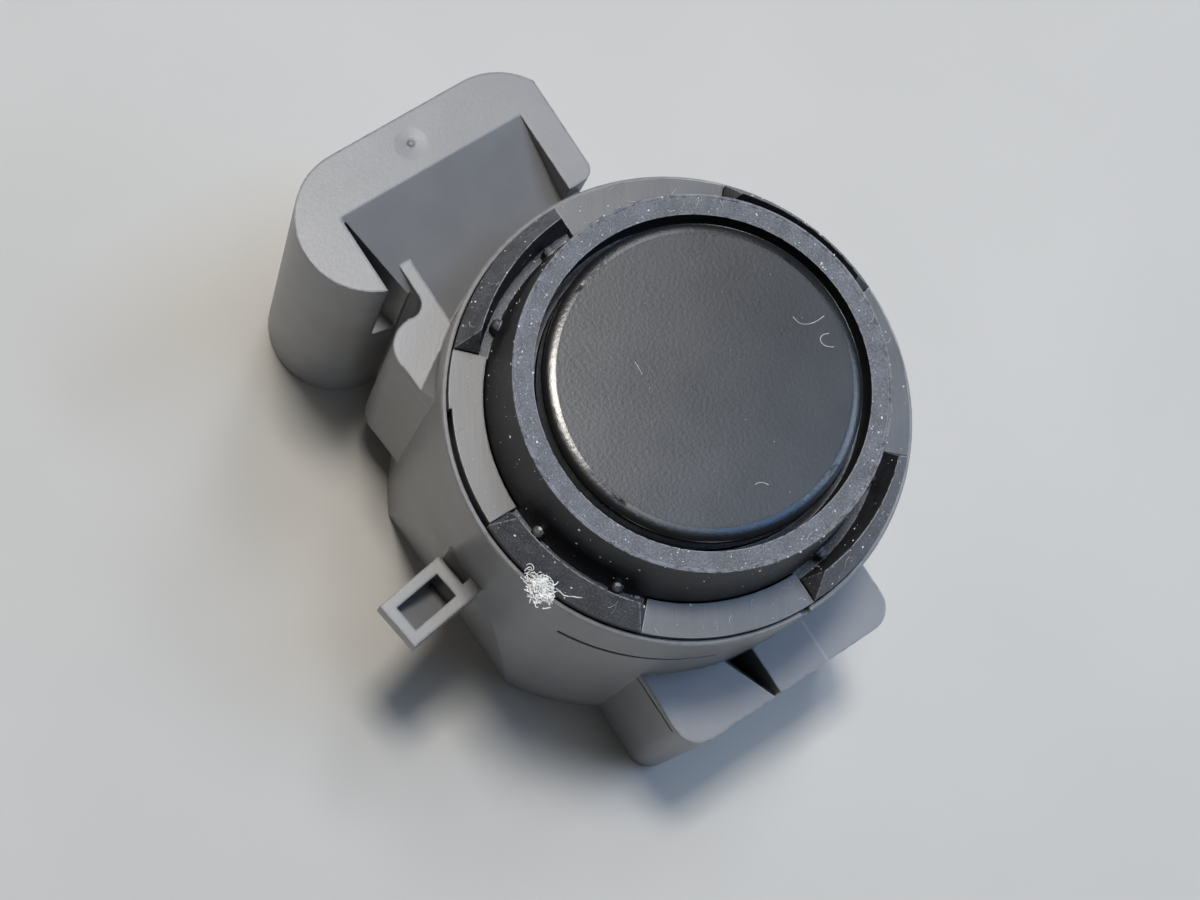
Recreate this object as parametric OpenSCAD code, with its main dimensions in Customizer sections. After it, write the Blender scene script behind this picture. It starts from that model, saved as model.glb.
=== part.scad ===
// Parking sensor: an ultrasonic transducer in a moulded housing, for a vehicle's bumper.
// Millimetres. The sensing axis is +Z, the face looks up, and z = 0 is the back.
// The plug socket lies towards +Y, the broad lug towards -Y and the loop lug towards -X.

/* [Housing] */
// Outer radius of the round wall at its straight front band
body_r = 11.75; // [11.4:0.05:12.2]
// Widening of the round wall from that band to the back
wall_draft = 0.2; // [0.1:0.05:0.3]
// Thickness of the round wall at the electronics space
wall_t = 2; // [1.9:0.05:2.2]
// Height of the front rim above the back
rim_h = 21.5; // [21:0.25:22.5]
// Thickness of the rim round the collar
rim_t = 0.25; // [0.2:0.05:0.4]
// Bevel of the rim's outer edge
rim_bevel = 0.1; // [0.05:0.05:0.15]
// Height of the straight band from its lower end to the rim
band_h = 1.9; // [1.5:0.1:2.2]
// Depth of the electronics space, open at the back
back_depth = 12.6; // [12:0.2:13.2]
// Thickness of the deck under the transducer
deck_t = 1.4; // [1:0.1:1.8]
// How much wider the deck's hole is than the ring's
deck_hole_room = 0.2; // [0.1:0.05:0.4]
// Height of the short groove in the round wall
groove_z = 16.85; // [16:0.05:17.6]
// Width of the short groove
groove_w = 0.45; // [0.2:0.05:0.6]
// Depth of the short groove at its middle
groove_d = 0.3; // [0.2:0.05:0.4]
// Depth, at the back, of the flat under the loop lug
flat_d = 1.45; // [1.1:0.05:1.5]
// Height at which that flat runs out
flat_h = 14; // [12:0.5:15]

/* [Collar] */
// Radial room between the rim and the collar
collar_gap = 0.05; // [0.03:0.01:0.1]
// Radial width of the collar
collar_w = 1.65; // [1.5:0.05:1.8]
// Depth of the relief in the collar's outer edge
collar_relief = 0.15; // [0.05:0.05:0.2]
// How far the collar stands above the rim
collar_proud = 0.5; // [0.2:0.05:0.7]
// Height of the collar
collar_h = 3; // [2.6:0.1:3.4]
// Depth of the collar's four windows
window_d = 1.8; // [1.4:0.1:2]

/* [Decoupling ring] */
// Room between the ring and the collar
ring_fit = 0.1; // [0.05:0.05:0.2]
// Width of the dark gap round the face
face_gap = 0.4; // [0.2:0.05:0.6]
// Depth of the dark gap round the face
face_gap_d = 1.9; // [1:0.1:3]
// Width of the ring's flat top
lip_w = 1.02; // [0.8:0.05:1.2]
// Height of the thin bead along the flat top's outer edge
bead_h = 0.06; // [0.04:0.01:0.1]
// Outward flare of the ring's wall towards its foot
ring_flare = 0.56; // [0.2:0.05:0.7]
// Height of the ring's top above the collar
ring_h = 4.5; // [3.5:0.1:5.5]
// Thickness of the ring's inner flange, under the pot
flange_t = 1.6; // [1.2:0.1:2]
// Reach of that flange inside the pot's wall
flange_in = 0.82; // [0.6:0.02:0.88]
// Angle that each wedge tab spans
tab_angle = 45; // [36:1:50]
// Height of a tab's ridge above the collar
tab_ridge_h = 2.05; // [1.5:0.1:2.5]
// Distance of the ridge from the tab's outer edge
tab_ridge_in = 0.92; // [0.7:0.05:1.1]
// Height of a tab's outer edge above the collar
tab_edge_h = 0.15; // [0:0.05:0.4]
// Lean of a tab's end faces
tab_end_lean = 18; // [5:1:25]
// Width of the groove between a tab and the ring
tab_groove_w = 0.45; // [0.3:0.05:0.6]
// Depth of that groove below the collar's top
tab_groove_d = 0.5; // [0.2:0.1:1]
// Radius of the round nubs in the groove
nub_r = 0.3; // [0.2:0.05:0.35]
// Height of a nub above the groove's floor
nub_h = 1.1; // [0.6:0.1:1.6]

/* [Transducer] */
// How far the face stands above the ring
face_proud = 0.35; // [0:0.05:0.6]
// Rounding of the face's edge
face_edge_r = 0.6; // [0.3:0.05:0.8]
// Thickness of the membrane
membrane_t = 0.9; // [0.6:0.1:1.2]
// Thickness of the pot's wall
pot_wall_t = 1.3; // [1.1:0.05:1.4]
// Room between the pot and the ring, plug and pad
pot_fit = 0.05; // [0.02:0.01:0.1]
// Radius of the piezo disc
piezo_r = 3.6; // [3:0.1:4]
// Thickness of the piezo disc
piezo_t = 0.5; // [0.3:0.1:0.8]
// Thickness of the damping pad
pad_t = 4; // [3:0.25:5]
// Thickness of the plug in the pot's mouth
plug_t = 2; // [1.5:0.1:2.5]
// Radius of the two lead wires
lead_r = 0.25; // [0.2:0.05:0.3]
// Place of the signal lead along X
lead_signal_x = -1.5; // [-2:0.1:-1]
// Distance of the ground lead from the pot's wall
lead_ground_in = 1.22; // [1.2:0.02:1.4]
// Room round a lead or a leg where it passes through
pass_fit = 0.05; // [0.03:0.01:0.1]

/* [Connector] */
// Length of the connector across the housing
conn_l = 14.8; // [14.2:0.1:15.4]
// Width of the connector
conn_w = 7.5; // [7.2:0.1:7.8]
// Height of the connector above the back
conn_h = 19.5; // [18.5:0.25:20.5]
// Sideways place of the connector's middle
conn_x = -3.7; // [-4.2:0.1:-3.2]
// Distance of the connector from the round wall
conn_off = 0.6; // [0.4:0.05:0.8]
// Radius of the connector's outer corner
conn_corner_r = 3.8; // [3.5:0.1:4.2]
// Length of the outer edge that the corner takes up
conn_corner_l = 3.2; // [3:0.1:3.4]
// Radius of the connector's corner beside the neck
conn_heel_r = 0.7; // [0.4:0.1:1]
// Thickness of the socket's wall
socket_wall_t = 1.3; // [1.1:0.05:1.5]
// Thickness of the socket's roof under the terminals
socket_roof_t = 0.8; // [0.5:0.1:1.2]
// Width of the flat border along the outer edge
border_outer_w = 2.95; // [2.5:0.05:3.3]
// Width of the flat border at the round end
border_round_w = 2.5; // [2:0.05:3]
// Width of the flat border at the square end
border_square_w = 1.6; // [1.2:0.05:2]
// Slope of the ramp from the border down to the housing
ramp_angle = 25; // [18:1:30]
// Width of the slot beside the ramp at its upper end
slot_end_w = 0.15; // [0.1:0.05:0.3]
// Width of that slot where it opens beside the neck
slot_mouth_w = 1.3; // [1:0.05:1.4]
// Height of the slot's floor above the back
slot_z = 11.6; // [11.2:0.2:13]
// Drop from the border to the web beside the ramp
web_drop = 1.5; // [1.2:0.1:2]
// Height of the web's lower edge above the back
web_z = 4.2; // [3:0.2:6]
// Distance of the neck's side from the middle of the round end
neck_in = 0.3; // [0.1:0.05:0.4]
// Thickness of the neck's upright walls
neck_wall_t = 0.65; // [0.5:0.05:0.8]
// Radius of the web's round lobe
lobe_r = 1.55; // [1.4:0.05:1.8]
// Radius of the hollow between the lobe and the neck
lobe_fillet_r = 0.8; // [0.5:0.1:1]
// Distance of the lobe's middle from the round wall
lobe_off = 0.84; // [0.6:0.02:1]
// Slope of the web's top where it runs up to the round wall
tail_slope = 55; // [40:1:65]
// Place of the gate mark from the connector's middle
gate_x = 0.2; // [-1:0.1:1]
// Radius of the dished gate mark
gate_r = 0.85; // [0.6:0.05:1.1]
// Depth of the gate mark
gate_d = 0.03; // [0.02:0.01:0.06]
// Height of the pip in the gate mark above the border
gate_pip_h = 0.08; // [0.04:0.01:0.09]

/* [Terminals] */
// Spacing of the three terminals
pin_pitch = 2.3; // [2.1:0.1:2.4]
// Width of a terminal blade
pin_w = 1.4; // [1:0.1:1.6]
// Thickness of a terminal blade
pin_t = 0.6; // [0.5:0.05:0.7]
// Reach of a blade below the socket's roof
pin_reach = 5.4; // [4.8:0.1:5.6]
// Distance of the terminals' run below the deck
run_drop = 1; // [0.6:0.1:1.4]
// Distance of the outermost leg from the board's edge
leg_in = 0.5; // [0.4:0.05:0.8]
// Room between a terminal and the housing moulded on it
mould_fit = 0.02; // [0.01:0.01:0.04]

/* [Electronics] */
// Height of the circuit board's underside above the back
board_z = 6; // [5.4:0.1:6.4]
// Thickness of the circuit board
board_t = 1.6; // [1.2:0.1:1.8]
// Room between the board and the round wall
board_gap = 0.4; // [0.2:0.1:0.6]
// Reach of the legs and pins below the board
leg_reach = 0.7; // [0.4:0.1:1]
// Radius of the posts that carry the board
post_r = 1; // [0.8:0.1:1.2]
// Radius of the pins on those posts
post_pin_r = 0.6; // [0.4:0.1:0.7]
// Room between a post and the round wall
post_gap = 0.5; // [0.3:0.1:0.6]
// Radius of the transformer's flanges
coil_r = 3; // [2.6:0.1:3.2]
// Radius of the transformer's middle
coil_core_r = 1.4; // [1.1:0.1:1.6]
// Height of the transformer
coil_h = 3.2; // [2.6:0.1:3.4]
// Thickness of the transformer's flanges
coil_flange_t = 0.6; // [0.4:0.1:0.8]
// Room between the winding and the flanges
coil_fit = 0.05; // [0.02:0.01:0.1]
// Side of the control chip
chip_w = 5; // [4.4:0.1:5.2]
// Thickness of the control chip
chip_t = 0.9; // [0.6:0.1:1.2]
// Length of a capacitor
capacitor_l = 3.2; // [2.6:0.1:3.4]
// Width and height of a capacitor
capacitor_w = 1.6; // [1.2:0.1:1.8]
// Length of a resistor
resistor_l = 2; // [1.6:0.1:2.2]
// Width of a resistor
resistor_w = 1.25; // [1:0.05:1.4]
// Thickness of a resistor
resistor_t = 0.5; // [0.3:0.1:0.7]
// Depth of the sealing compound below the back edge
fill_inset = 0.6; // [0.3:0.1:1]
// Thickness of the sealing compound
fill_t = 2.6; // [2:0.1:3]
// Room between the sealing compound and the round wall
fill_fit = 0.05; // [0.02:0.01:0.1]

/* [Broad lug] */
// Width of the broad lug
broad_w = 13.4; // [12.4:0.1:14.4]
// Reach of the broad lug beyond the round wall
broad_out = 2.8; // [2.4:0.05:3.2]
// Height of the broad lug above the back
broad_h = 12; // [11:0.25:13]
// Radius of the broad lug's outer corners
broad_corner_r = 1.45; // [1:0.05:1.8]
// Place of the upright side of the notch
notch_x = -0.92; // [-1.5:0.02:0]
// Width of the notch at the round wall
notch_w = 1.7; // [1.2:0.1:2.2]
// Width of the notch at the lug's outer edge
notch_end_w = 0.4; // [0.2:0.05:0.6]
// Depth of the notch at the round wall
notch_d = 5; // [3:0.25:6]
// Distance of the side groove below the lug's top
crease_drop = 0.7; // [0.5:0.1:1.2]
// Width and depth of the side groove
crease_w = 0.22; // [0.1:0.02:0.3]

/* [Loop lug] */
// Width of the loop lug
loop_w = 2.7; // [2.4:0.1:3.2]
// Reach of the loop lug beyond the round wall
loop_l = 4.55; // [4:0.05:5]
// Height of the loop lug's top above the back
loop_z = 14; // [13:0.25:15]
// Sideways place of the loop lug at the round wall
loop_y = -0.55; // [-1:0.05:0]
// Turn of the loop lug out of the square
loop_turn = 8; // [0:1:10]
// Thickness of the loop lug at its root
loop_root_t = 4.2; // [3.6:0.1:5]
// Thickness of the loop lug at its tip
loop_tip_t = 1.3; // [1:0.1:1.8]
// Thickness of the loop lug's walls
loop_wall_t = 0.62; // [0.5:0.02:0.7]
// Thickness of the loop lug's sloping floor
loop_floor_t = 0.7; // [0.5:0.1:1]
// Width of the slit between the loop lug and the round wall
slit_w = 0.65; // [0.5:0.05:0.8]
// Depth of that slit
slit_d = 2.4; // [1.5:0.1:3]

/* [Hidden] */
$fn = 96;

// Length that a cut reaches past a face, and that a lug and the neck are rooted in the wall
past = 1;
root = 1.2;
neck_root = 5.4;

// Radii, from the housing wall inwards
base_r = body_r + wall_draft;
bore_r = body_r - rim_t;
collar_r = bore_r - collar_gap;
collar_in_r = collar_r - collar_w;
foot_r = collar_in_r - ring_fit;
lip_out_r = foot_r - ring_flare;
lip_in_r = lip_out_r - lip_w;
face_r = lip_in_r - face_gap;
pot_in_r = face_r - pot_wall_t;
flange_r = pot_in_r - flange_in;
deck_hole_r = flange_r + deck_hole_room;
lead_ground_x = pot_in_r - lead_ground_in;
back_r = body_r - wall_t;

// Heights, from the back to the face
deck_top = back_depth + deck_t;
pot_z = deck_top + flange_t;
collar_top = rim_h + collar_proud;
seat_z = collar_top - collar_h;
window_z = collar_top - window_d;
ring_top = collar_top + ring_h;
face_top = ring_top + face_proud;
membrane_z = face_top - membrane_t;
piezo_z = membrane_z - piezo_t;

// Tabs
tab_count = 4;
tab_step = 360 / tab_count;
tab_r = collar_r - collar_gap / 2;
tab_side_room = 0.3;
nub_spread = 13.5;

// Angles at which the short groove, the collar's relief and the rim's nick lie
groove_from = 207;
groove_to = 247;
groove_run_out = 0.5;
relief_from = 150;
relief_to = 190;
relief_d = 2.5;
nick_from = 266.2;
nick_to = 268.8;
nick_d = 0.5;

// The straight band under the rim
band_z = rim_h - band_h;

// The flat under the loop lug, from the back up to where it meets the wall
flat_angle = 182;
flat_slope = atan((flat_d - wall_draft * flat_h / band_z) / flat_h);

// Connector plan
conn_x0 = conn_x - conn_l / 2;
conn_x1 = conn_x + conn_l / 2;
conn_y0 = body_r + conn_off;
conn_y1 = conn_y0 + conn_w;
conn_mid_y = conn_y0 + conn_w / 2;
conn_end_r = conn_w / 2;
conn_corner_x = conn_x1 - conn_corner_l;
conn_corner_y = conn_y1 - conn_corner_r;
ramp_x0 = conn_x0 + border_round_w;
ramp_x1 = conn_x1 - border_square_w;
ramp_y = conn_y1 - border_outer_w;
conn_end_x = conn_x0 + conn_end_r;
neck_x0 = conn_end_x + neck_in;
neck_x1 = conn_x1 - conn_heel_r;
neck_y0 = body_r - neck_root;
web_h = conn_h - web_drop;
web_y1 = ramp_y - web_drop / tan(ramp_angle) + neck_wall_t / 4;
lobe_angle = 130.7;
lobe_x = (body_r + lobe_off) * cos(lobe_angle);
lobe_y = (body_r + lobe_off) * sin(lobe_angle);
lobe_fillet_x = neck_x0 - lobe_fillet_r;
lobe_fillet_y = lobe_y + sqrt(pow(lobe_r + lobe_fillet_r, 2) - pow(lobe_fillet_x - lobe_x, 2));
tail_angle = 145.6;
tail_root = 0.2;
tail_in = 0.03;
tail_run_angle = 127;
tail_run_turn = 212.8;
tail_run_w = 1.2;
tail_run_l = 4;
slot_y1 = ramp_y - slot_end_w * 2;
gate_y = conn_y1 - border_outer_w / 2;
gate_dish_r = (gate_r * gate_r + gate_d * gate_d) / (2 * gate_d);
gate_pip_r = 0.3;

// Terminals: a run under the deck, a leg to the board and a blade in the socket
run_z = back_depth - run_drop - pin_t;
socket_z = run_z - socket_roof_t;
blade_tip_z = socket_z - pin_reach;
blade_y = conn_mid_y;
board_top = board_z + board_t;
board_r = back_r - board_gap;
leg_z = board_z - leg_reach;
leg_x = abs(conn_x) + pin_pitch + pin_w / 2;
leg_y = sqrt(pow(board_r - leg_in, 2) - leg_x * leg_x) - pin_t / 2;
blade_bevel = 0.2;

// Electronics plan: each piece has an angle and a distance in from the board's edge
function place(angle, inset) = [(board_r - inset) * cos(angle), (board_r - inset) * sin(angle)];
post_ring_r = back_r - post_gap - post_r;
post_angles = [30, 180, 270];
coil_at = place(220, 3.8);
chip_at = place(306, 4.2);
capacitor_a_at = place(48, 5.8);
capacitor_b_at = place(62, 3);
resistor_a_at = place(146, 6);
resistor_b_at = place(160, 3.3);

// Broad lug and loop lug
broad_y1 = -(body_r + broad_out);
notch_y0 = -body_r * cos(asin((notch_x - notch_w) / body_r));
notch_turn = atan2(broad_y1 - notch_y0, notch_w - notch_end_w);
notch_slope = atan(notch_d / (notch_w * abs(sin(notch_turn))));
loop_x0 = -sqrt(body_r * body_r - loop_y * loop_y);
slit_y0 = -0.5;

// A band of a ring between two radii, two heights and two angles
module band(r0, r1, z0, z1, a0, a1) {
    rotate([0, 0, a0])
        rotate_extrude(angle = a1 - a0)
            translate([r0, z0])
                square([r1 - r0, z1 - z0]);
}

// The round wall, solid, with its draft, a bevelled rim, a short groove and the flat under the loop lug
module round_wall() {
    difference() {
        rotate_extrude()
            polygon([
                [0, 0], [base_r, 0], [body_r, band_z], [body_r, rim_h - rim_bevel],
                [body_r - rim_bevel, rim_h], [0, rim_h]
            ]);
        // The groove's floor lies off the axis, so it runs out towards one end
        rotate([0, 0, (groove_from + groove_to) / 2])
            translate([0, groove_run_out, groove_z])
                band(body_r - groove_d, body_r + past, 0, groove_w,
                    (groove_from - groove_to) / 2, (groove_to - groove_from) / 2);
        rotate([0, 0, flat_angle])
            translate([base_r - flat_d, 0, 0])
                rotate([0, flat_slope, 0])
                    translate([0, -base_r, -past]) cube([base_r, 2 * base_r, rim_h]);
    }
}

// The connector's outline: one end fully round, one outer corner part round, one heel
module connector_plan(inset) {
    x1 = conn_x1 - inset;
    y0 = conn_y0 + inset;
    y1 = conn_y1 - inset;
    heel = max(conn_heel_r - inset, 0.2);
    translate([conn_end_x, conn_mid_y]) circle(r = conn_end_r - inset);
    translate([conn_end_x, y0]) square([conn_corner_x - conn_end_x, y1 - y0]);
    translate([conn_corner_x, y0]) square([x1 - heel - conn_corner_x, conn_corner_y - y0]);
    translate([conn_corner_x, y0 + heel]) square([x1 - conn_corner_x, conn_corner_y - y0 - heel]);
    translate([x1 - heel, y0 + heel]) circle(r = heel);
    intersection() {
        translate([conn_corner_x, conn_corner_y]) circle(r = conn_corner_r - inset);
        translate([conn_corner_x, conn_corner_y]) square([x1 - conn_corner_x, y1 - conn_corner_y]);
    }
}

// The connector and its neck, with the ramp sunk in the border
module connector_block() {
    difference() {
        union() {
            linear_extrude(conn_h) connector_plan(0);
            translate([neck_x0, neck_y0, 0]) cube([neck_x1 - neck_x0, conn_mid_y - neck_y0, conn_h]);
        }
        translate([ramp_x0, ramp_y, conn_h])
            rotate([ramp_angle, 0, 0])
                translate([0, -conn_w - body_r, 0])
                    cube([ramp_x1 - ramp_x0, conn_w + body_r, conn_h]);
        // Beside the neck's end the ramp runs out to the neck's own sides
        translate([neck_x0 - past, 0, web_h])
            cube([neck_x1 - neck_x0 + 2 * past, conn_y0, conn_h]);
        // A wedge-shaped slot parts the ramp from the border of the round end
        translate([ramp_x0, 0, slot_z])
            linear_extrude(conn_h)
                polygon([
                    [0, slot_y1], [slot_end_w, slot_y1], [slot_mouth_w, conn_y0],
                    [slot_mouth_w, conn_y0 - past], [0, conn_y0 - past]
                ]);
        // The gate mark is a shallow dish
        translate([conn_x + gate_x, gate_y, conn_h + gate_dish_r - gate_d]) sphere(r = gate_dish_r);
    }
    translate([conn_x + gate_x, gate_y, conn_h + gate_pip_h - gate_pip_r]) sphere(r = gate_pip_r);
}

// The web that ties the connector's round end to the housing, an S in plan
module web_plan() {
    web_tail_plan();
    translate([neck_x0, neck_y0]) square([neck_wall_t, web_y1 - neck_y0]);
    translate([lobe_x, lobe_y]) circle(r = lobe_r);
    difference() {
        translate([lobe_x, lobe_y]) square([neck_x0 - lobe_x + neck_wall_t / 2, lobe_fillet_y - lobe_y]);
        translate([lobe_fillet_x, lobe_fillet_y]) circle(r = lobe_fillet_r);
    }
}

// The web's tail, which runs into the round wall
module web_tail_plan() {
    polygon([
        [lobe_x - lobe_r + tail_in, lobe_y],
        [(body_r - tail_root) * cos(tail_angle), (body_r - tail_root) * sin(tail_angle)],
        [(body_r - root) * cos(lobe_angle), (body_r - root) * sin(lobe_angle)],
        [lobe_x, lobe_y]
    ]);
}

// The slope by which the tail's top runs up to the round wall
module web_tail_slope() {
    intersection() {
        translate([body_r * cos(tail_run_angle), body_r * sin(tail_run_angle), web_h])
            rotate([0, 0, tail_run_turn])
                rotate([90, 0, 90])
                    linear_extrude(tail_run_l)
                        polygon([
                            [0, 0], [tail_run_w, tail_run_w * tan(tail_slope)],
                            [tail_run_w, -past], [0, -past]
                        ]);
        translate([0, 0, web_z]) linear_extrude(rim_h - web_z) web_tail_plan();
    }
}

// The neck's other upright wall
module square_end_wall() {
    translate([neck_x1 - neck_wall_t, neck_y0, 0])
        cube([neck_wall_t, conn_y0 + conn_heel_r - neck_y0, web_h]);
}

// The broad lug with the wedge notch that stands against the round wall
module broad_lug() {
    difference() {
        linear_extrude(broad_h) {
            translate([-broad_w / 2, broad_y1 + broad_corner_r])
                square([broad_w, body_r - root - broad_corner_r]);
            translate([-broad_w / 2 + broad_corner_r, broad_y1])
                square([broad_w - 2 * broad_corner_r, broad_corner_r + past]);
            for (side = [-1, 1])
                translate([side * (broad_w / 2 - broad_corner_r), broad_y1 + broad_corner_r])
                    circle(r = broad_corner_r);
        }
        intersection() {
            translate([notch_x - notch_w, notch_y0, broad_h])
                rotate([0, 0, notch_turn])
                    rotate([-notch_slope, 0, 0])
                        translate([-body_r, 0, 0]) cube(2 * body_r);
            translate([notch_x - body_r, broad_y1 - past, broad_h - notch_d])
                cube([body_r, body_r, notch_d + past]);
        }
        translate([-broad_w / 2 - past, broad_y1 + broad_corner_r, broad_h - crease_drop - crease_w])
            cube([past + crease_w, body_r, crease_w]);
    }
}

// The loop lug: a thin scoop with a sloping floor, slit from the round wall
module loop_lug() {
    inner = slit_w + loop_wall_t;
    outer = loop_l - loop_wall_t;
    slope = (loop_root_t - loop_tip_t) / loop_l;
    translate([loop_x0, loop_y, loop_z])
        rotate([0, 0, 180 + loop_turn])
            difference() {
                translate([0, loop_w / 2, 0])
                    rotate([90, 0, 0])
                        linear_extrude(loop_w)
                            polygon([
                                [-root, 0], [-root, -loop_root_t - slope * root],
                                [loop_l, -loop_tip_t], [loop_l, 0]
                            ]);
                translate([0, loop_w / 2 - loop_wall_t, 0])
                    rotate([90, 0, 0])
                        linear_extrude(loop_w - 2 * loop_wall_t)
                            polygon([
                                [inner, past], [inner, loop_floor_t - loop_root_t + slope * inner],
                                [outer, loop_floor_t - loop_tip_t - slope * loop_wall_t], [outer, past]
                            ]);
                translate([0, -loop_w / 2 - past, -slit_d])
                    cube([slit_w, loop_w / 2 + past - slit_y0, slit_d + past]);
            }
}

// Posts on the deck, with pins that the board is staked on
module board_posts() {
    for (angle = post_angles)
        rotate([0, 0, angle])
            translate([post_ring_r, 0, 0]) {
                translate([0, 0, board_top]) cylinder(r = post_r, h = back_depth - board_top + past);
                translate([0, 0, leg_z]) cylinder(r = post_pin_r, h = back_depth - leg_z);
            }
}

// One terminal, or with room round it the slot that it is moulded in
module terminal(x, room) {
    w = pin_w + 2 * room;
    t = pin_t + 2 * room;
    translate([x - w / 2, leg_y - pin_t / 2 - room, run_z - room])
        cube([w, blade_y - leg_y + t, t]);
    translate([x - w / 2, leg_y - pin_t / 2 - room, leg_z])
        cube([w, t, run_z + pin_t - leg_z]);
    translate([x - w / 2, blade_y - pin_t / 2 - room, blade_tip_z])
        cube([w, t, run_z + pin_t - blade_tip_z]);
}

module terminal_at(place) {
    color("goldenrod")
        difference() {
            terminal(conn_x + place * pin_pitch, 0);
            // The blade's tip is bevelled on its two broad sides
            for (side = [-1, 1])
                translate([conn_x + place * pin_pitch, blade_y + side * pin_t / 2, blade_tip_z])
                    rotate([45, 0, 0])
                        cube([pin_w + past, blade_bevel, blade_bevel], center = true);
        }
}

module housing() {
    color([0.40, 0.41, 0.42])
        difference() {
            union() {
                round_wall();
                connector_block();
                translate([0, 0, web_z]) linear_extrude(web_h - web_z) web_plan();
                web_tail_slope();
                square_end_wall();
                broad_lug();
                loop_lug();
            }
            // Front: the collar's bore, the ring's well and the lead hole
            translate([0, 0, seat_z]) cylinder(r = bore_r, h = rim_h);
            translate([0, 0, deck_top]) cylinder(r = collar_in_r, h = rim_h);
            translate([0, 0, back_depth - past]) cylinder(r = deck_hole_r, h = deck_t + 2 * past);
            band(collar_r, body_r + past, rim_h - nick_d, rim_h + past, nick_from, nick_to);
            // Back: the electronics space, round its posts
            difference() {
                translate([0, 0, -past]) cylinder(r = back_r, h = back_depth + past);
                board_posts();
            }
            // Plug socket, and the slots of the terminals above it
            translate([0, 0, -past]) linear_extrude(socket_z + past) connector_plan(socket_wall_t);
            for (place = [-1, 0, 1])
                terminal(conn_x + place * pin_pitch, mould_fit);
        }
}

module collar() {
    color([0.52, 0.52, 0.52])
        difference() {
            rotate_extrude()
                translate([collar_in_r, seat_z])
                    square([collar_r - collar_in_r, collar_top - seat_z]);
            for (i = [0 : tab_count - 1])
                band(collar_in_r - past, collar_r + past, window_z, collar_top + past,
                    i * tab_step - tab_side_room, i * tab_step + tab_angle + tab_side_room);
            band(collar_r - collar_relief, collar_r + past, collar_top - relief_d, collar_top + past,
                relief_from, relief_to);
        }
}

// One wedge tab, with leaning end faces
module tab() {
    edge_z = collar_top + tab_edge_h;
    difference() {
        rotate_extrude(angle = tab_angle)
            polygon([
                [foot_r - tab_groove_w, window_z], [tab_r, window_z], [tab_r, edge_z],
                [tab_r - tab_ridge_in, collar_top + tab_ridge_h],
                [foot_r + tab_groove_w, collar_top - tab_groove_d],
                [foot_r - tab_groove_w, collar_top - tab_groove_d]
            ]);
        translate([face_r, 0, edge_z])
            rotate([-tab_end_lean, 0, 0])
                translate([0, -tab_r, 0]) cube([tab_r, tab_r, tab_r]);
        rotate([0, 0, tab_angle])
            translate([face_r, 0, edge_z])
                rotate([tab_end_lean, 0, 0])
                    cube([tab_r, tab_r, tab_r]);
    }
}

// A round-headed nub in the groove between a tab and the ring
module nub() {
    rotate_extrude()
        intersection() {
            union() {
                square([nub_r, nub_h]);
                translate([0, nub_h]) circle(r = nub_r);
            }
            square([nub_r, nub_h + nub_r]);
        }
}

module decoupling_ring() {
    color([0.06, 0.06, 0.07]) {
        rotate_extrude()
            polygon([
                [flange_r, deck_top], [foot_r, deck_top], [foot_r, collar_top],
                [lip_out_r, ring_top], [lip_out_r - bead_h / 2, ring_top + bead_h],
                [lip_out_r - bead_h * 2, ring_top + bead_h], [lip_out_r - bead_h * 3, ring_top],
                [lip_in_r, ring_top], [lip_in_r, ring_top - face_gap_d],
                [face_r + pot_fit, ring_top - face_gap_d], [face_r + pot_fit, pot_z], [flange_r, pot_z]
            ]);
        for (i = [0 : tab_count - 1])
            rotate([0, 0, i * tab_step]) {
                tab();
                for (side = [-1, 1])
                    rotate([0, 0, tab_angle / 2 + side * nub_spread])
                        translate([foot_r + nub_r / 4, 0, collar_top - tab_groove_d - nub_r]) nub();
            }
    }
}

module membrane_pot() {
    color([0.10, 0.10, 0.11])
        rotate_extrude()
            difference() {
                union() {
                    translate([0, pot_z]) square([face_r, face_top - face_edge_r - pot_z]);
                    translate([0, pot_z]) square([face_r - face_edge_r, face_top - pot_z]);
                    translate([face_r - face_edge_r, face_top - face_edge_r]) circle(r = face_edge_r);
                }
                translate([0, pot_z - past]) square([pot_in_r, membrane_z - pot_z + past]);
            }
}

// A disc with holes for the two leads
module drilled_disc(r, z, h) {
    difference() {
        translate([0, 0, z]) cylinder(r = r, h = h);
        for (x = [lead_signal_x, lead_ground_x])
            translate([x, 0, z - past]) cylinder(r = lead_r + pass_fit, h = h + 2 * past);
    }
}

module piezo_disc() {
    color("khaki") translate([0, 0, piezo_z]) cylinder(r = piezo_r, h = piezo_t);
}

module damping_pad() {
    color("lightyellow") drilled_disc(pot_in_r - pot_fit, piezo_z - pad_t, pad_t);
}

module pot_plug() {
    color("dimgray") drilled_disc(pot_in_r - pot_fit, pot_z, plug_t);
}

module lead_signal() {
    color("indianred") translate([lead_signal_x, 0, leg_z]) cylinder(r = lead_r, h = piezo_z - leg_z);
}

module lead_ground() {
    color("black") translate([lead_ground_x, 0, leg_z]) cylinder(r = lead_r, h = membrane_z - leg_z);
}

module circuit_board() {
    color("darkgreen")
        difference() {
            drilled_disc(board_r, board_z, board_t);
            for (angle = post_angles)
                rotate([0, 0, angle])
                    translate([post_ring_r, 0, 0]) cylinder(r = post_pin_r + pass_fit, h = board_top + past);
            for (place = [-1, 0, 1])
                terminal(conn_x + place * pin_pitch, pass_fit);
        }
}

module transformer_core() {
    color([0.2, 0.2, 0.2])
        translate([coil_at.x, coil_at.y, board_top]) {
            cylinder(r = coil_r, h = coil_flange_t);
            cylinder(r = coil_core_r, h = coil_h);
            translate([0, 0, coil_h - coil_flange_t]) cylinder(r = coil_r, h = coil_flange_t);
        }
}

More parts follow.
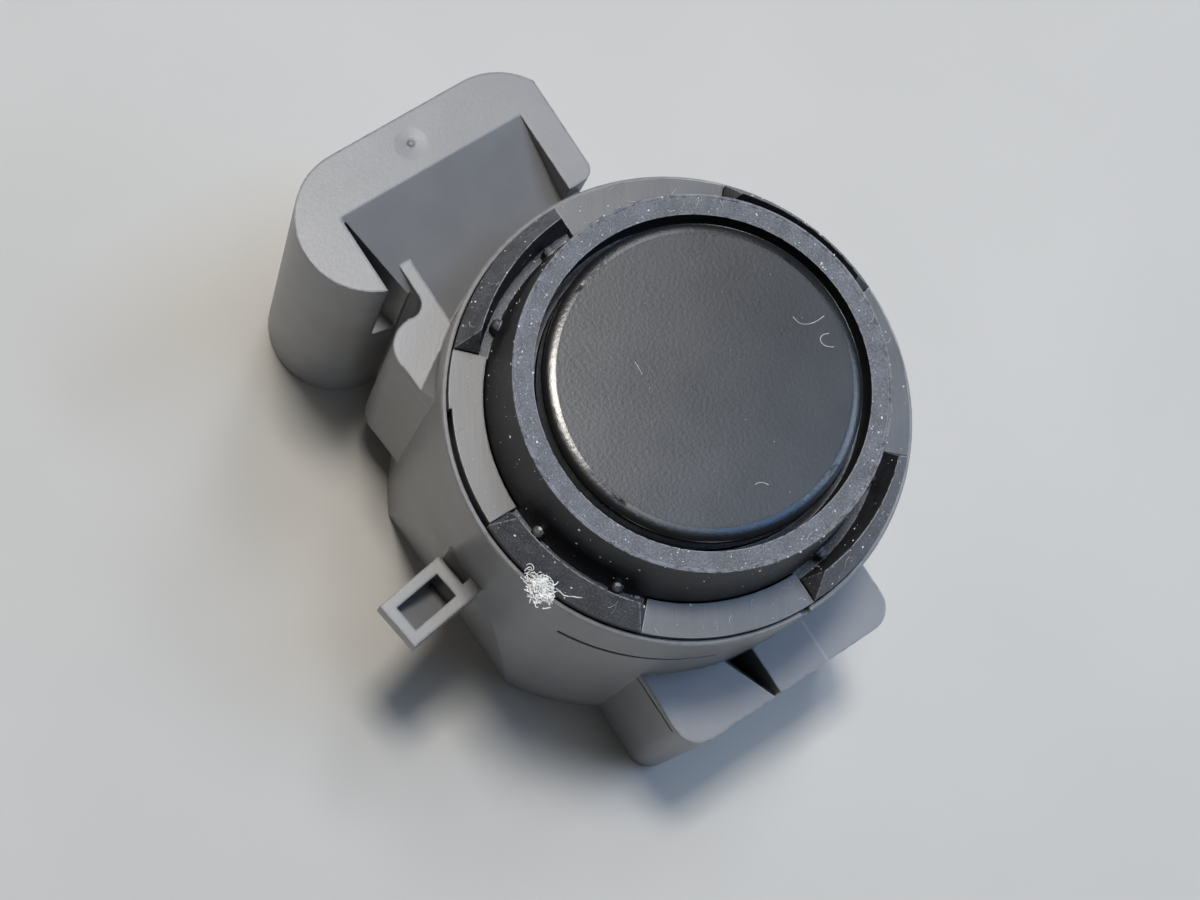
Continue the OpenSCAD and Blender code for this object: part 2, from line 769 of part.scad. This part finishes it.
module transformer_winding() {
    winding_h = coil_h - 2 * coil_flange_t - coil_fit;
    color("chocolate")
        translate([coil_at.x, coil_at.y, board_top + coil_flange_t])
            difference() {
                cylinder(r = coil_r - coil_flange_t / 2, h = winding_h);
                translate([0, 0, -past]) cylinder(r = coil_core_r + coil_fit, h = winding_h + 2 * past);
            }
}

// A flat component that lies on the board
module component(place, length, width, height) {
    translate([place.x - length / 2, place.y - width / 2, board_top]) cube([length, width, height]);
}

module control_chip() {
    color([0.12, 0.12, 0.12]) component(chip_at, chip_w, chip_w, chip_t);
}

module capacitor_a() {
    color("tan") component(capacitor_a_at, capacitor_l, capacitor_w, capacitor_w);
}

module capacitor_b() {
    color("tan") component(capacitor_b_at, capacitor_l, capacitor_w, capacitor_w);
}

module resistor_a() {
    color("black") component(resistor_a_at, resistor_l, resistor_w, resistor_t);
}

module resistor_b() {
    color("black") component(resistor_b_at, resistor_l, resistor_w, resistor_t);
}

module back_fill() {
    color([0.15, 0.15, 0.16]) translate([0, 0, fill_inset]) cylinder(r = back_r - fill_fit, h = fill_t);
}

housing();
collar();
decoupling_ring();
membrane_pot();
piezo_disc();
damping_pad();
pot_plug();
lead_signal();
lead_ground();
circuit_board();
transformer_core();
transformer_winding();
control_chip();
capacitor_a();
capacitor_b();
resistor_a();
resistor_b();
terminal_at(-1);  // terminal_a
terminal_at(0);  // terminal_b
terminal_at(1);  // terminal_c
back_fill();
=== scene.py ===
import math
import random

import bpy
from mathutils import Matrix, Vector


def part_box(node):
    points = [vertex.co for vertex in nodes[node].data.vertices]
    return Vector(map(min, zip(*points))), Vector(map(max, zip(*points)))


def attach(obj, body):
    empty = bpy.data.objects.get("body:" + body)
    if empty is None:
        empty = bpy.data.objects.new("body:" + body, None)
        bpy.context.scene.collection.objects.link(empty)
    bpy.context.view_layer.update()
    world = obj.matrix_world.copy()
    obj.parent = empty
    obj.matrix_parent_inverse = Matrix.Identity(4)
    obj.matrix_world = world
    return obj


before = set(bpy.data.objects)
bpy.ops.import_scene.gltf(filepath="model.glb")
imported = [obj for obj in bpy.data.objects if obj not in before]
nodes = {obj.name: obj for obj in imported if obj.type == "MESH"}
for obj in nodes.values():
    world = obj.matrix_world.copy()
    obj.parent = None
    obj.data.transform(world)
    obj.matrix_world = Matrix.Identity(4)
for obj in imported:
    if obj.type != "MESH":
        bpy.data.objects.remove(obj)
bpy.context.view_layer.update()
bpy.ops.object.select_all(action="DESELECT")

# Housing: one injection moulding in grey filled plastic, with the round wall, neck, plug socket and lugs.
# The tool leaves a fine even grain and a flow line on the broad lug. The sharp edges are painted paler, partly as
# rubbed wear and partly as painted highlight, most on the broad lug, and a painted highlight runs along the parting
# line on the wall.


class Shade:
    """One socket of a shader tree: sums with it add Math nodes, and node() adds any other node."""

    def __init__(self, tree, socket=None):
        self.tree = tree
        self.socket = socket

    def node(self, kind, settings=None, inputs=None, out=0):
        made = self.tree.nodes.new(kind)
        for name, value in (settings or {}).items():
            setattr(made, name, value)
        for name, value in (inputs or {}).items():
            if isinstance(value, Shade):
                self.tree.links.new(value.socket, made.inputs[name])
            else:
                made.inputs[name].default_value = value
        return Shade(self.tree, made.outputs[out])

    def math(self, operation, first, second=0.0):
        return self.node("ShaderNodeMath", {"operation": operation}, {0: first, 1: second})

    def __add__(self, other):
        return self.math("ADD", self, other)

    def __radd__(self, other):
        return self.math("ADD", other, self)

    def __sub__(self, other):
        return self.math("SUBTRACT", self, other)

    def __rsub__(self, other):
        return self.math("SUBTRACT", other, self)

    def __mul__(self, other):
        return self.math("MULTIPLY", self, other)

    def __rmul__(self, other):
        return self.math("MULTIPLY", other, self)

    def ramp(self, low, high):
        """0 up to the value low, 1 from the value high on, and a smooth step between; low may be the larger."""
        return self.node("ShaderNodeMapRange", {"interpolation_type": "SMOOTHSTEP"},
                         {"Value": self, "From Min": low, "From Max": high})

    def band(self, low, high, soft):
        """1 between the values low and high, fading to 0 over soft inside each end."""
        return self.ramp(low, low + soft) * self.ramp(high, high - soft)

    def mix(self, low, high):
        """The colour low where this value is 0 and high where it is 1."""
        return self.node("ShaderNodeMix", {"data_type": "RGBA"}, {0: self, 6: low, 7: high}, 2)

    def into(self, shader, socket):
        self.tree.links.new(self.socket, shader.inputs[socket])


def new_finish(name, *pieces, **uniform):
    """Puts a new material with these uniform values on the pieces; gives its shader and places in millimetres."""
    made = bpy.data.materials.new(name)
    made.use_nodes = True
    shader = made.node_tree.nodes["Principled BSDF"]
    for socket, value in uniform.items():
        shader.inputs[socket.replace("_", " ")].default_value = value
    for piece in pieces:
        piece.data.materials.clear()
        piece.data.materials.append(made)
    metres = Shade(made.node_tree).node("ShaderNodeTexCoord", out="Object")
    place = metres.node("ShaderNodeVectorMath", {"operation": "SCALE"}, {0: metres, "Scale": 1000.0})
    return shader, place


def noise(place, scale, detail=2.0):
    return place.node("ShaderNodeTexNoise", None, {"Vector": place, "Scale": scale, "Detail": detail})


def along(place, axis):
    return place.node("ShaderNodeSeparateXYZ", None, {0: place}, axis)


def stretched(place, factors):
    return place.node("ShaderNodeVectorMath", {"operation": "MULTIPLY"}, {0: place, 1: factors})


def from_axis(place):
    """The distance from the sensing axis, in millimetres."""
    return place.node("ShaderNodeVectorMath", {"operation": "LENGTH"}, {0: stretched(place, (1.0, 1.0, 0.0))}, "Value")


def relief(shader, height, normal=None, strength=1.0, depth=1.0):
    """Bumps the shader's normal by a height, of which 1 stands for depth millimetres."""
    inputs = {"Strength": strength, "Distance": depth / 1000, "Height": height}
    if normal is not None:
        inputs["Normal"] = normal
    height.node("ShaderNodeBump", None, inputs).into(shader, "Normal")


def edge_shade(place, radius):
    """A normal rounded over the edges within radius millimetres, and a mask of those edges."""
    rounded = place.node("ShaderNodeBevel", {"samples": 6}, {"Radius": radius / 1000})
    straight = place.node("ShaderNodeNewGeometry", out="Normal")
    turned = place.node("ShaderNodeVectorMath", {"operation": "DOT_PRODUCT"}, {0: rounded, 1: straight}, "Value")
    return rounded, (1 - turned).ramp(0.005, 0.12)


shader, place = new_finish("grey_plastic_skin", nodes["housing"])
rounded, edges = edge_shade(place, 0.18)
mottle = noise(place, 0.45, 4.0)
grain = noise(place, 6.5, 3.0)
# The pale tone serves the worn and painted-highlight edges, the painted parting-line highlight and the flow line.
dark_skin, pale_skin, pale_wear_and_highlight = (0.176, 0.177, 0.181, 1), (0.196, 0.197, 0.201, 1), (0.44, 0.45, 0.47, 1)
skin = mottle.ramp(0.25, 0.75).mix(dark_skin, pale_skin)
x, y, z = (along(place, axis) for axis in "XYZ")
# Paler edges: partly rubbed wear, partly painted highlight, strongest along the broad lug.
rubbed_and_highlit = edges * noise(place, 2.2, 3.0).ramp(0.30, 0.54) * (0.6 + 0.4 * y.ramp(-12.0, -13.5))
# A painted highlight along the parting line on the wall.
parting_highlight = z.band(16.96, 17.16, 0.07) * y.band(4.6, 9.2, 0.6) * x.ramp(-7.0, -7.8)
flow = x.ramp(2.07, 2.13) * x.ramp(2.27, 2.19) * y.ramp(-11.9, -12.1) * z.ramp(11.6, 11.8)
(rubbed_and_highlit + 0.4 * parting_highlight + 0.3 * flow).mix(skin, pale_wear_and_highlight).into(shader, "Base Color")
(0.29 + 0.12 * grain).into(shader, "Roughness")
relief(shader, 0.005 * grain, rounded)

# Terminals: three blades stamped from brass strip and tinned, moulded into the neck with their legs in the board.
# Rolling leaves fine lines along the strip.
shader, place = new_finish("tinned_strip", nodes["terminal_a"], nodes["terminal_b"], nodes["terminal_c"],
                           Metallic=1.0)
rolled = noise(stretched(place, (9.0, 0.6, 0.6)), 1.0, 3.0)
rolled.mix((0.50, 0.48, 0.44, 1), (0.68, 0.66, 0.61, 1)).into(shader, "Base Color")
(0.22 + 0.2 * rolled).into(shader, "Roughness")

# Circuit board: glass-fibre laminate under green lacquer, staked on the housing's three posts.
# The weave of the glass cloth just shows through the lacquer.
shader, place = new_finish("board_lacquer", nodes["circuit_board"], Roughness=0.35)
warp = place.node("ShaderNodeTexWave", {"bands_direction": "X"}, {"Vector": place, "Scale": 0.8, "Distortion": 0.4})
weft = place.node("ShaderNodeTexWave", {"bands_direction": "Y"}, {"Vector": place, "Scale": 0.8, "Distortion": 0.4})
(warp * weft).mix((0.008, 0.055, 0.025, 1), (0.015, 0.085, 0.040, 1)).into(shader, "Base Color")
relief(shader, warp * weft, strength=0.2, depth=0.01)

# Transformer: a pressed ferrite bobbin core on the board, with enamelled copper wire wound between its flanges.
# The wire lies in level turns, so the winding is ribbed, and the grooves between the turns are painted darker as
# shade.
shader, place = new_finish("ferrite", nodes["transformer_core"], Roughness=0.7)
noise(place, 4.0, 4.0).mix((0.018, 0.018, 0.019, 1), (0.045, 0.044, 0.043, 1)).into(shader, "Base Color")
shader, place = new_finish("enamelled_wire", nodes["transformer_winding"], Roughness=0.3, Metallic=0.8)
turns = place.node("ShaderNodeTexWave", {"bands_direction": "Z"}, {"Vector": place, "Scale": 1.6, "Distortion": 0.0})
# Painted shade: the colour darkens in the grooves between the turns, in step with the bump.
turns.mix((0.16, 0.055, 0.020, 1), (0.42, 0.17, 0.07, 1)).into(shader, "Base Color")
relief(shader, turns, strength=0.8, depth=0.06)

# Control chip, capacitors and resistors: surface-mounted blocks soldered on the board's upper side.
# The chip is moulded epoxy, the others are fired ceramic.
shader, place = new_finish("chip_epoxy", nodes["control_chip"], Roughness=0.6)
noise(place, 9.0, 2.0).mix((0.010, 0.010, 0.011, 1), (0.024, 0.024, 0.025, 1)).into(shader, "Base Color")
shader, place = new_finish("capacitor_ceramic", nodes["capacitor_a"], nodes["capacitor_b"], Roughness=0.5)
noise(place, 5.0, 3.0).mix((0.27, 0.17, 0.09, 1), (0.36, 0.24, 0.14, 1)).into(shader, "Base Color")
shader, place = new_finish("resistor_ceramic", nodes["resistor_a"], nodes["resistor_b"], Roughness=0.4)
noise(place, 5.0, 3.0).mix((0.010, 0.010, 0.010, 1), (0.03, 0.03, 0.03, 1)).into(shader, "Base Color")

# Leads: two drawn copper wires from the piezo disc and the pot down to the board.
# Drawing leaves fine lines along the wire.
shader, place = new_finish("lead_wire", nodes["lead_signal"], nodes["lead_ground"], Metallic=1.0)
drawn = noise(stretched(place, (14.0, 14.0, 0.5)), 1.0)
drawn.mix((0.50, 0.22, 0.12, 1), (0.66, 0.33, 0.20, 1)).into(shader, "Base Color")
(0.25 + 0.2 * drawn).into(shader, "Roughness")

# Transducer filling: a fired piezo disc bonded inside the membrane, a silicone pad behind it and a rubber plug.
# None of them shows once the pot is closed.
shader, place = new_finish("piezo_ceramic", nodes["piezo_disc"], Roughness=0.55)
noise(place, 4.0, 3.0).mix((0.52, 0.47, 0.31, 1), (0.62, 0.57, 0.40, 1)).into(shader, "Base Color")
shader, place = new_finish("silicone_pad", nodes["damping_pad"], Roughness=0.65)
noise(place, 2.0, 4.0).mix((0.62, 0.58, 0.46, 1), (0.72, 0.69, 0.57, 1)).into(shader, "Base Color")
shader, place = new_finish("plug_rubber", nodes["pot_plug"], Roughness=0.7)
noise(place, 3.0, 4.0).mix((0.026, 0.026, 0.026, 1), (0.046, 0.046, 0.046, 1)).into(shader, "Base Color")

# Membrane pot: a drawn aluminium cup whose closed end is the sensing face, sprayed with black satin paint.
# The paint dried with a fine orange peel and is glossier at the rounded edge, which the bump makes look fuller than
# the mesh.
shader, place = new_finish("black_paint", nodes["membrane_pot"])
peel = noise(place, 5.4, 2.0)
haze = noise(place, 0.35, 3.0)
haze.mix((0.0080, 0.0082, 0.0088, 1), (0.0120, 0.0122, 0.0130, 1)).into(shader, "Base Color")
reach = from_axis(place)
edge_start = 7.15
rim = place.math("MAXIMUM", reach - edge_start, 0.0)
(0.25 + 0.08 * haze - 0.06 * reach.ramp(6.9, 7.3)).into(shader, "Roughness")
relief(shader, 0.006 * peel + 0.38 * rim * rim + 0.8 * rim * rim * rim)

# Decoupling ring: moulded silicone rubber that holds the pot, with its four wedge tabs through the collar's windows.
# The soft surface has caught pale dust specks. The faces that face up carry a pale bluish film, partly dust and partly
# painted sheen, and its parting edges are rubbed grey.
shader, place = new_finish("black_silicone", nodes["decoupling_ring"])
rounded, edges = edge_shade(place, 0.12)
facing_up = along(place.node("ShaderNodeNewGeometry", out="Normal"), "Z").ramp(-0.2, 0.9)
fine = place.node("ShaderNodeTexVoronoi", None, {"Vector": place, "Scale": 7.0}, "Distance").ramp(0.20, 0.10)
fine = fine * noise(place, 3.0, 2.0).ramp(0.42, 0.62)
coarse = place.node("ShaderNodeTexVoronoi", None, {"Vector": place, "Scale": 2.6}, "Distance").ramp(0.12, 0.05)
coarse = coarse * noise(place, 1.3, 1.0).ramp(0.46, 0.6)
film = noise(place, 1.1, 3.0).ramp(0.3, 0.7)
grit = noise(place, 10.0, 2.0).ramp(0.40, 0.64)
reach = from_axis(place)
on_tabs = reach.ramp(9.9, 10.5)
# The film on the faces that face up is partly dust and partly painted sheen; the specks are dust.
dust_and_sheen = facing_up * (0.23 + 0.14 * grit + 0.16 * film) + on_tabs * (0.05 + 0.05 * grit)
dust_and_sheen = dust_and_sheen + (0.14 + 0.4 * facing_up + 0.25 * on_tabs) * fine + (0.25 + 0.4 * facing_up) * coarse
rubber = film.mix((0.012, 0.012, 0.014, 1), (0.020, 0.021, 0.024, 1))
worn = edges * noise(place, 3.4, 2.0).ramp(0.34, 0.54) * 0.9
worn = worn.mix(rubber, (0.46, 0.47, 0.50, 1))
dust_and_sheen.ramp(0.0, 1.2).mix(worn, (0.41, 0.44, 0.51, 1)).into(shader, "Base Color")
(0.52 + 0.12 * film).into(shader, "Roughness")
texture = 0.013 * noise(place, 5.0, 3.0) + 0.006 * fine + 0.05 * on_tabs * noise(place, 1.8, 3.0)
relief(shader, texture, rounded)

# Collar: a flat moulded ring pressed into the rim, which locks the rubber ring by its tabs.
# Its top was wiped in one direction, so it is finely streaked, and its edges are painted pale, partly for a burr on
# the outer edge and partly as painted highlight.
shader, place = new_finish("collar_plastic", nodes["collar"])
rounded, edges = edge_shade(place, 0.08)
turned = place.node("ShaderNodeMapping", {"vector_type": "TEXTURE"},
                    {"Vector": place, "Rotation": (0.0, 0.0, 1.02), "Scale": (2.8, 0.10, 1.0)})
streak = noise(turned, 1.0, 4.0)
wide = noise(place, 0.6, 3.0)
collar_skin = (0.5 * streak + 0.5 * wide).ramp(0.3, 0.7).mix((0.078, 0.079, 0.082, 1), (0.108, 0.110, 0.113, 1))
# The pale edges are partly a burr and partly painted highlight.
(edges * wide.ramp(0.3, 0.55) * 0.85).mix(collar_skin, (0.50, 0.51, 0.52, 1)).into(shader, "Base Color")
(0.25 + 0.10 * streak).into(shader, "Roughness")
relief(shader, streak, rounded, strength=0.3, depth=0.006)

# Sealing compound: black casting resin poured in at the back, which covers the board and sets level.
# It dries glossy, with a slow unevenness where it has shrunk.
shader, place = new_finish("sealing_compound", nodes["back_fill"], Roughness=0.22)
slow = noise(place, 0.4, 3.0)
slow.mix((0.010, 0.010, 0.011, 1), (0.018, 0.018, 0.020, 1)).into(shader, "Base Color")
relief(shader, slow, strength=0.3, depth=0.12)

# Dust: grains of pale grit that have settled on the rubber ring, the tabs and the collar, a few on the face, and
# bigger pale grains at given spots by the nubs.
# One uneven grain is shaped and then copied to its places on the surfaces below.
chance = random.Random(11)
depsgraph = bpy.context.evaluated_depsgraph_get()
bpy.ops.mesh.primitive_ico_sphere_add(subdivisions=1, radius=1.0, location=(0, 0, 0))
grain = bpy.context.object
bpy.ops.object.mode_set(mode="EDIT")
bpy.ops.transform.vertex_random(offset=0.35, seed=4)
bpy.ops.transform.resize(value=(1.0, 0.75, 0.55))
bpy.ops.object.mode_set(mode="OBJECT")
grains = []
grain_count, face_count = 640, 14
swept_share, steepest = 0.75, 0.1


def look_down(x, y):
    """What is under this place: whether there is anything, the point in metres, the normal and the node."""
    hit, point, normal, _, below, _ = bpy.context.scene.ray_cast(depsgraph, Vector((x, y, 60.0)) / 1000, (0, 0, -1))
    return hit, point, normal, below


def drop(x, y, size):
    """Lays a copy of the grain, size millimetres in radius, on what is under this place."""
    hit, point, normal, below = look_down(x, y)
    if not hit or normal.z < steepest or (below.name == "collar" and chance.random() < swept_share):
        return
    copy = grain.copy()
    copy.data = grain.data.copy()
    turn = Matrix.Rotation(chance.uniform(0, 6.3), 4, "Z")
    tilt = normal.to_track_quat("Z", "Y").to_matrix().to_4x4()
    copy.data.transform(Matrix.Translation(point + normal * size * 3e-4) @ tilt @ turn @ Matrix.Scale(size / 1000, 4))
    bpy.context.collection.objects.link(copy)
    grains.append(copy)


# Bigger pale grains at given spots by the nubs.
for x, y, size in [(-9.57, -1.48, 0.13), (-9.43, -2.30, 0.11), (-7.89, -5.68, 0.17), (-7.13, -6.61, 0.18),
                   (-7.46, -7.19, 0.09), (-8.16, -8.04, 0.11), (-8.89, -4.83, 0.08), (9.96, 1.94, 0.08)]:
    drop(x, y, size)
while len(grains) < grain_count:
    reach, angle = chance.uniform(8.1, 11.4), chance.uniform(0, 2 * math.pi)
    drop(reach * math.cos(angle), reach * math.sin(angle), 0.024 + 0.06 * chance.random() ** 3)
for _ in range(face_count):
    reach, angle = chance.uniform(1.0, 6.8), chance.uniform(0, 2 * math.pi)
    drop(reach * math.cos(angle), reach * math.sin(angle), chance.uniform(0.014, 0.028))
bpy.data.objects.remove(grain)
bpy.ops.object.select_all(action="DESELECT")
for copy in grains:
    copy.select_set(True)
bpy.context.view_layer.objects.active = grains[0]
bpy.ops.object.join()
dust_grains = bpy.context.object
dust_grains.name = "dust_grains"
shader, place = new_finish("pale_dust", dust_grains, Roughness=0.8)
noise(place, 1.5, 1.0).ramp(0.35, 0.65).mix((0.40, 0.41, 0.43, 1), (0.86, 0.86, 0.86, 1)).into(shader, "Base Color")
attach(dust_grains, "root")

# Fibres: short loose hairs of cloth that cling to the painted face, the rubber and the collar.
# Each is a thin round strand that lies on what is under it.


def strands(name, paths, radius, colour):
    """One mesh of round strands, each through a list of places in millimetres."""
    curve = bpy.data.curves.new(name, "CURVE")
    curve.dimensions = "3D"
    curve.bevel_depth = radius / 1000
    curve.bevel_resolution = 1
    curve.resolution_u = 3
    for path in paths:
        spline = curve.splines.new("NURBS")
        spline.points.add(len(path) - 1)
        for point, spot in zip(spline.points, path):
            point.co = (spot[0] / 1000, spot[1] / 1000, spot[2] / 1000, 1.0)
        spline.order_u = 3
        spline.use_endpoint_u = True
    strand = bpy.data.objects.new(name, curve)
    bpy.context.collection.objects.link(strand)
    bpy.ops.object.select_all(action="DESELECT")
    strand.select_set(True)
    bpy.context.view_layer.objects.active = strand
    bpy.ops.object.convert(target="MESH")
    strand = bpy.context.object
    shader, place = new_finish(name + "_fibre", strand, Roughness=0.7)
    dull = tuple(0.7 * level for level in colour)
    noise(place, 3.0, 1.0).ramp(0.3, 0.7).mix((*dull, 1), (*colour, 1)).into(shader, "Base Color")
    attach(strand, "root")


face_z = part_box("membrane_pot")[1].z * 1000 + 0.01
on_face = [
    [(5.29, 0.31), (5.32, 0.01), (5.43, -0.18), (5.66, -0.35), (5.96, -0.44), (6.30, -0.47), (6.62, -0.43)],
    [(6.34, -1.26), (6.11, -1.15), (5.88, -1.19), (5.75, -1.33), (5.76, -1.57), (5.91, -1.78), (6.16, -1.93)],
    [(-2.48, 2.42), (-2.48, 2.25), (-2.50, 2.05), (-2.50, 1.88), (-2.54, 1.73)],
    [(-0.92, -5.38), (-0.78, -5.35), (-0.57, -5.46), (-0.43, -5.60), (-0.37, -5.72)],
]
strands("face_fibres", [[(x, y, face_z) for x, y in path] for path in on_face], 0.024, (0.55, 0.52, 0.47))

loose = []
loose_count, loose_step, tallest_step = 64, 0.085, 0.3
while len(loose) < loose_count:
    reach, angle = chance.uniform(8.2, 11.4), chance.uniform(0, 2 * math.pi)
    heading = chance.uniform(0, 2 * math.pi)
    curl = chance.uniform(-1.4, 1.4)
    path = []
    x, y = reach * math.cos(angle), reach * math.sin(angle)
    for _ in range(chance.randint(4, 7)):
        hit, point, normal, below = look_down(x, y)
        if not hit or below.name not in ("decoupling_ring", "collar"):
            break
        if path and abs(point.z * 1000 - path[-1][2]) > tallest_step:
            break
        path.append(tuple(1000 * point + 0.02 * normal))
        heading += curl * 0.25
        x += loose_step * math.cos(heading)
        y += loose_step * math.sin(heading)
    if len(path) > 3:
        loose.append(path)
strands("loose_fibres", loose, 0.012, (0.58, 0.57, 0.56))

# Lint: a tuft of white tangled fibres caught on the edge of one tab, with ends that curl loose along the tab.
# It is a tight tangle of thin strands, and the loose ends sink from it to what is under them.
tuft = Vector((-11.15, -3.85, 22.72))
tangle = []
tangle_count, end_count, end_step = 400, 28, 0.11
for _ in range(tangle_count):
    centre = tuft + Vector((chance.gauss(0, 0.24), chance.gauss(0, 0.31), chance.gauss(0, 0.10)))
    reach = chance.uniform(0.06, 0.25)
    first, second = (Vector((chance.gauss(0, 1), chance.gauss(0, 1), chance.gauss(0, 0.5))).normalized()
                     for _ in range(2))
    sweep = chance.uniform(2.0, 5.5)
    tangle.append([centre + reach * (first * math.cos(sweep * t / 5) + second * math.sin(sweep * t / 5))
                   for t in range(6)])
for _ in range(end_count):
    spot = tuft + Vector((chance.gauss(0.1, 0.18), chance.gauss(-0.2, 0.22), chance.gauss(0.1, 0.05)))
    heading, curl = chance.gauss(-0.9, 0.5), chance.uniform(-1.3, 1.3)
    end = []
    for _ in range(chance.randint(7, 14)):
        hit, point, _, _ = look_down(spot.x, spot.y)
        if not hit or point.z * 1000 < tuft.z - 2.0:
            break
        spot.z = max(point.z * 1000 + 0.05, spot.z - 0.06)
        end.append(spot.copy())
        heading += 0.2 * curl + chance.gauss(0, 0.2)
        spot += end_step * Vector((math.cos(heading), math.sin(heading), 0.0))
    if len(end) > 3:
        tangle.append(end)
strands("lint_tuft", tangle, 0.027, (0.96, 0.95, 0.92))

# Table: the pale smooth top that the sensor stands on, which is not part of it.
# It is a sheet cut wide enough to fill the view.
bpy.ops.mesh.primitive_plane_add(size=3.0, location=(0, 0, -1e-5))
table = bpy.context.object
table.name = "table"
shader, place = new_finish("table_top", table, Roughness=0.9, Specular_IOR_Level=0.2)
noise(place, 0.05, 4.0).mix((0.540, 0.532, 0.505, 1), (0.605, 0.595, 0.565, 1)).into(shader, "Base Color")

# Light: a warm lamp almost overhead, which throws the short shadows, weaker cool panels of sky beside it, and a ring
# of low panels for the light along the table. A panel's level is its brightness, so its power follows its size.
room = bpy.data.worlds.new("room")
bpy.context.scene.world = room
room.use_nodes = True
room.node_tree.nodes["Background"].inputs["Color"].default_value = (0.02, 0.02, 0.02, 1)
panels = [
    ("lamp", (0.025, 0.135, 0.600), (0, 0, -1), 0.10, 0.10, 74.0, (1.0, 0.95, 0.88)),
    ("shade", (0.200, 0.180, 0.600), (0, 0, -1), 0.10, 0.08, 11.0, (0.93, 0.96, 1.0)),
    ("glow", (0.150, 0.080, 0.600), (0, 0, -1), 0.10, 0.08, 2.0, (0.93, 0.96, 1.0)),
    ("ceiling", (0.050, 0.000, 0.600), (0, 0, -1), 0.10, 0.20, 6.0, (0.86, 0.90, 1.0)),
    ("sky_near", (0.190, -0.120, 0.600), (0, 0, -1), 0.18, 0.16, 5.6, (0.20, 0.50, 1.0)),
    ("sky_far", (0.250, 0.250, 0.600), (0, 0, -1), 0.10, 0.10, 13.0, (0.78, 0.85, 1.0)),
    ("sky_side", (0.350, -0.100, 0.600), (0, 0, -1), 0.10, 0.20, 12.0, (0.66, 0.79, 1.0)),
    ("sky_low", (0.352, -0.295, 0.406), (-0.352, 0.295, -0.386), 0.16, 0.16, 2.3, (0.45, 0.65, 1.0)),
]
low_reach = 0.6
for angle, level, tone in [
    (0, 14.0, (0.90, 0.94, 1.0)), (36, 12.0, (1.0, 0.98, 0.94)), (108, 7.0, (1.0, 0.86, 0.74)),
    (216, 3.6, (1.0, 0.93, 0.84)), (252, 8.0, (0.72, 0.84, 1.0)), (324, 11.0, (0.66, 0.82, 1.0)),
]:
    x, y = low_reach * math.cos(math.radians(angle)), low_reach * math.sin(math.radians(angle))
    panels.append((f"low_{angle}", (x, y, 0.083), (-x, -y, -0.063), 0.12, 0.12, level, tone))
for name, spot, aim, width, height, level, tone in panels:
    lamp = bpy.data.lights.new(name, "AREA")
    lamp.shape = "RECTANGLE"
    lamp.size, lamp.size_y = width, height
    lamp.energy = level * math.pi * width * height
    lamp.color = tone
    panel = bpy.data.objects.new(name, lamp)
    bpy.context.scene.collection.objects.link(panel)
    panel.matrix_world = Matrix.Translation(spot) @ Vector(aim).to_track_quat("-Z", "Y").to_matrix().to_4x4()

# Camera: a close view from above, over the loop lug, as in the photograph.
# Its place and turn come from a fit to the round edges.
camera = bpy.data.objects.new("camera", bpy.data.cameras.new("camera"))
bpy.context.scene.collection.objects.link(camera)
camera.data.lens = 75
camera.data.sensor_width = 36
camera.data.clip_start = 0.01
view = Matrix(((0.813766, -0.548892, 0.191059),
               (0.509003, 0.831757, 0.221579),
               (-0.280539, -0.083063, 0.956242))).transposed().to_4x4()
view.translation = (-0.03838, -0.00971, 0.13645)
camera.matrix_world = view
bpy.context.scene.camera = camera
bpy.context.scene.view_settings.view_transform = "Standard"
